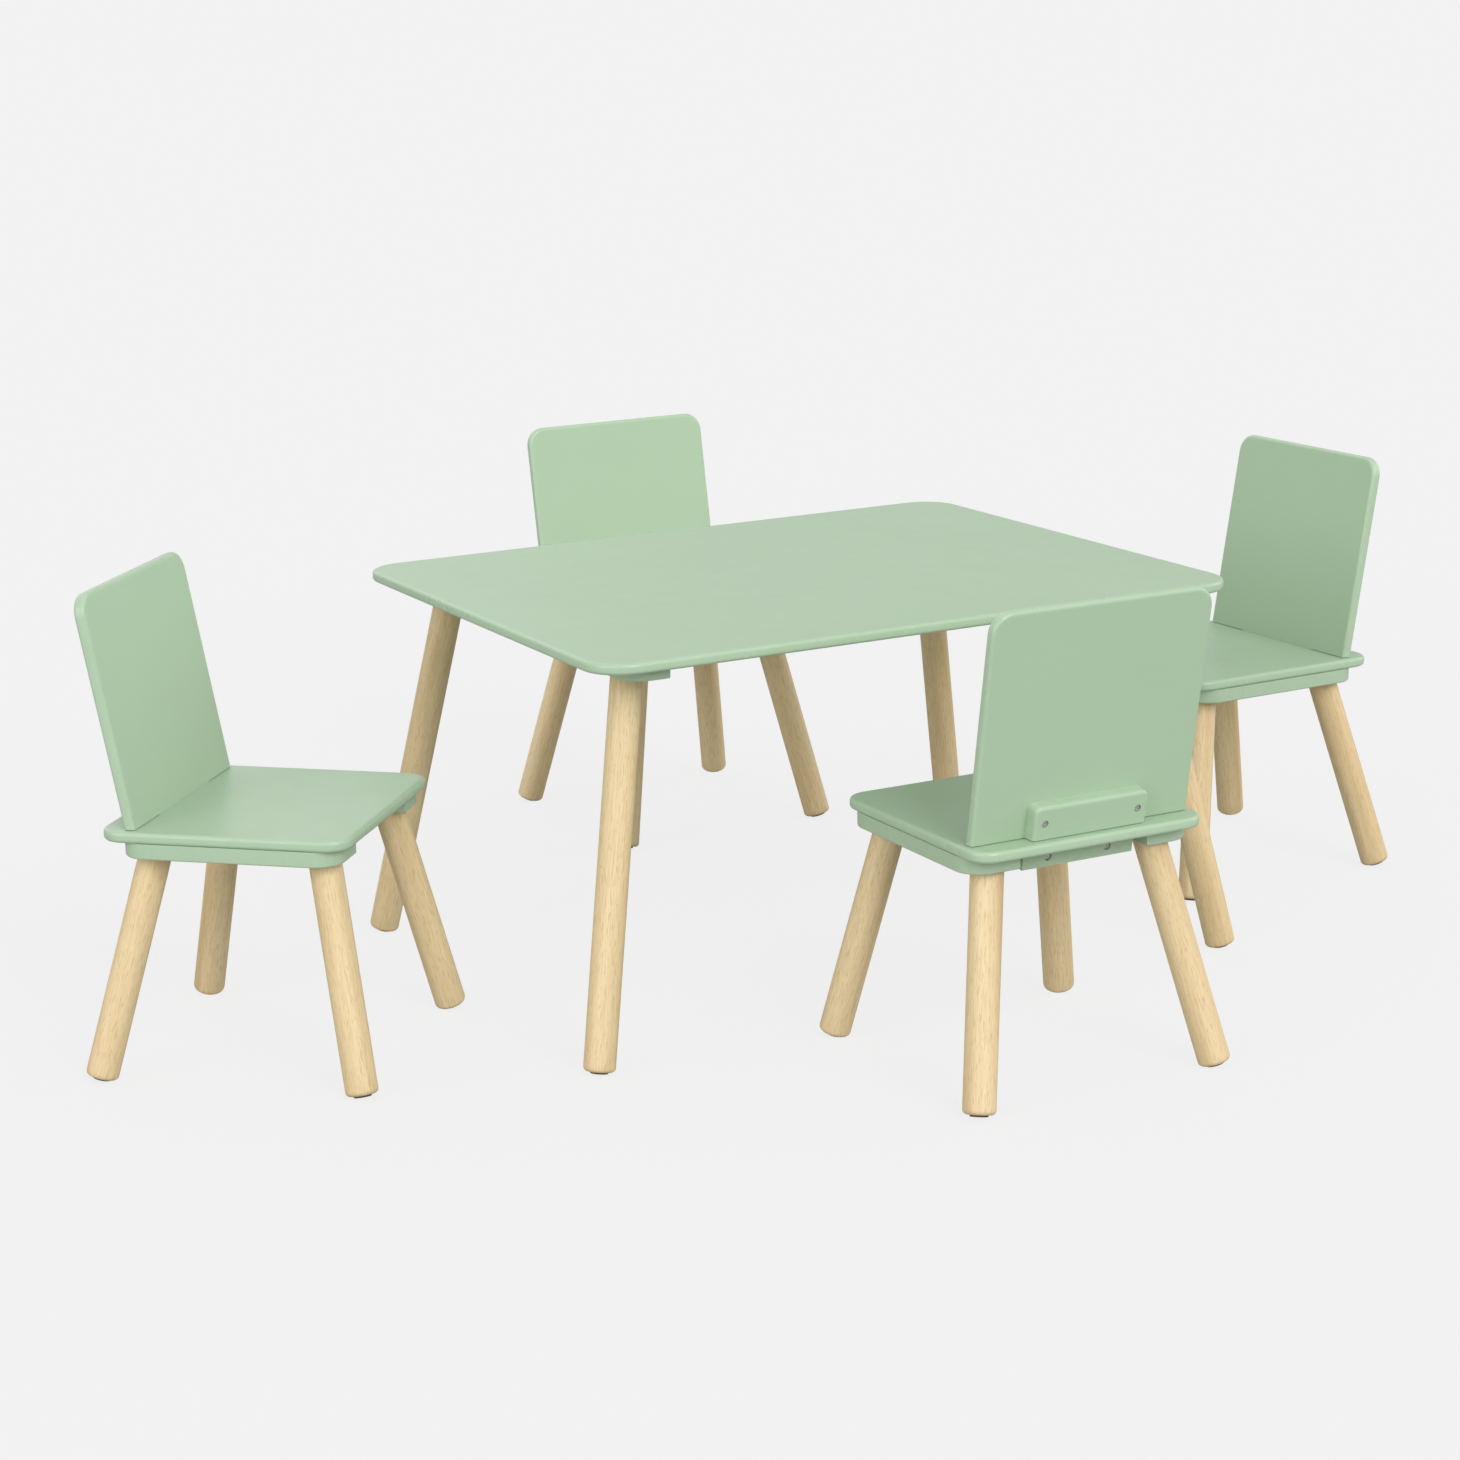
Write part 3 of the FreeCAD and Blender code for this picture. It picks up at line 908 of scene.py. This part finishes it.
world = bpy.data.worlds.new("studio_air")
bpy.context.scene.world = world
world.use_nodes = True
air = world.node_tree.nodes["Background"]
air.inputs["Color"].default_value = AIR_TONE
air.inputs["Strength"].default_value = AIR_STRENGTH


def soft_sun(name, azimuth, elevation, strength, spread, colour):
    """Wide soft light from far away; azimuth 0 shines along +Y and 90 along -X."""
    lamp = bpy.data.lights.new(name, "SUN")
    lamp.energy = strength
    lamp.angle = math.radians(spread)
    lamp.color = colour
    holder = bpy.data.objects.new(name, lamp)
    bpy.context.scene.collection.objects.link(holder)
    a, e = math.radians(azimuth), math.radians(elevation)
    toward = Vector((math.sin(a) * math.cos(e), -math.cos(a) * math.cos(e), math.sin(e)))
    holder.rotation_euler = toward.to_track_quat("Z", "Y").to_euler()
    holder.location = toward * LAMP_DISTANCE


soft_sun("key_softbox", 2.0, 33.0, 1.55, 35.0, (1.0, 1.0, 0.99))
soft_sun("left_softbox", -75.0, 18.0, 1.00, 45.0, (1.0, 1.0, 1.0))
soft_sun("right_softbox", 78.0, 20.0, 0.66, 45.0, (1.0, 1.0, 1.0))
soft_sun("rear_softbox", 180.0, 30.0, 0.39, 50.0, (1.0, 1.0, 1.0))

# ---------------------------------------------------------------- camera

CAMERA_PLACE = Vector((-1.74771, -3.06973, 1.14640))
CAMERA_YAW = math.radians(61.52)
CAMERA_PITCH = math.radians(-14.16)
CAMERA_ROLL = math.radians(-1.13)
CAMERA_SENSOR = 36.0
CAMERA_LENS = 77.21704
CAMERA_REACH = 300.0

ahead = Vector((math.cos(CAMERA_PITCH) * math.cos(CAMERA_YAW),
                math.cos(CAMERA_PITCH) * math.sin(CAMERA_YAW), math.sin(CAMERA_PITCH)))
level = Vector((math.sin(CAMERA_YAW), -math.cos(CAMERA_YAW), 0.0))
upright = level.cross(ahead)
right = level * math.cos(CAMERA_ROLL) + upright * math.sin(CAMERA_ROLL)
above = right.cross(ahead)
lens = bpy.data.cameras.new("studio_camera")
lens.lens = CAMERA_LENS
lens.sensor_width = CAMERA_SENSOR
lens.clip_end = CAMERA_REACH
camera = bpy.data.objects.new("studio_camera", lens)
bpy.context.scene.collection.objects.link(camera)
turn = Matrix((right, above, -ahead)).transposed().to_4x4()
camera.matrix_world = Matrix.Translation(CAMERA_PLACE + Vector(ORIGIN)) @ turn
bpy.context.scene.camera = camera
bpy.context.scene.view_settings.view_transform = "Standard"

bpy.context.view_layer.update()
